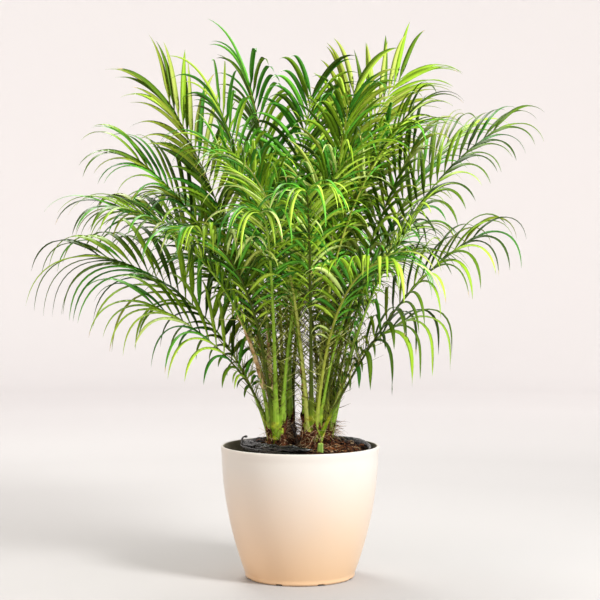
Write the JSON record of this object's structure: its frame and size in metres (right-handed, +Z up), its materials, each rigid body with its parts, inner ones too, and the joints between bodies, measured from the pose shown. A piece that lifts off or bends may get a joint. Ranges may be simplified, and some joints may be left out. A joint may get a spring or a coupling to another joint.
{
  "type": "potted pygmy date palm",
  "caption": "Bushy young pygmy date palm with arching feather fronds on short clumped stems, rooted in a black nursery liner inside a smooth cream pot.",
  "frame": {"origin": "centre of the pot's flat underside, at the level that it stands on", "axes": "+Z up along the pot's axis, +X to the right and -Y towards the viewer of the reference picture"},
  "size_m": [0.9872, 0.8614, 1.0593],
  "materials": {
    "pot": "smooth soft gloss",
    "liner": "thin crumpled film",
    "soil": "loose bark chips and fibres",
    "stem": "fibrous leaf bases",
    "dryStalk": "dry and matt",
    "frond": "soft leaf gloss"
  },
  "bodies": {
    "root": {"pot": "pot", "liner": "liner", "soil": "soil", "driedStalk": "dryStalk", "cutStalk": "stem", "leftFrontStem": "stem", "leftRearStem": "stem", "rightFrontStem": "stem", "rightRearStem": "stem", "leftLowFrond": "frond", "leftSpreadFrond": "frond", "leftArchFrond": "frond", "leftTallFrond": "frond", "leftUprightFrond": "frond", "rightLowFrond": "frond", "rightSpreadFrond": "frond", "rightMidFrond": "frond", "rightUprightFrond": "frond", "rightLongFrond": "frond", "rightInnerFrond": "frond", "rightTallFrond": "frond", "leftForeFrond": "frond", "leftBackFrond": "frond", "frontLeftLowFrond": "frond", "frontMidFrond": "frond", "frontLeftFrond": "frond", "frontHighFrond": "frond", "innerFrontFrond": "frond", "leftSpireFrond": "frond", "leftBackLowFrond": "frond", "backLowFrond": "frond", "backLeftFrond": "frond", "backFrond": "frond", "centreBackFrond": "frond", "centreUpFrond": "frond", "frontRightLowFrond": "frond", "frontRightFrond": "frond", "frontRightMidFrond": "frond", "frontTallFrond": "frond", "innerLeftFrond": "frond", "rightSpireFrond": "frond", "backRightLowFrond": "frond", "backRightFrond": "frond", "backMidFrond": "frond", "backUpFrond": "frond", "rightBackFrond": "frond", "centreFrontFrond": "frond"}
  },
  "joints": []
}
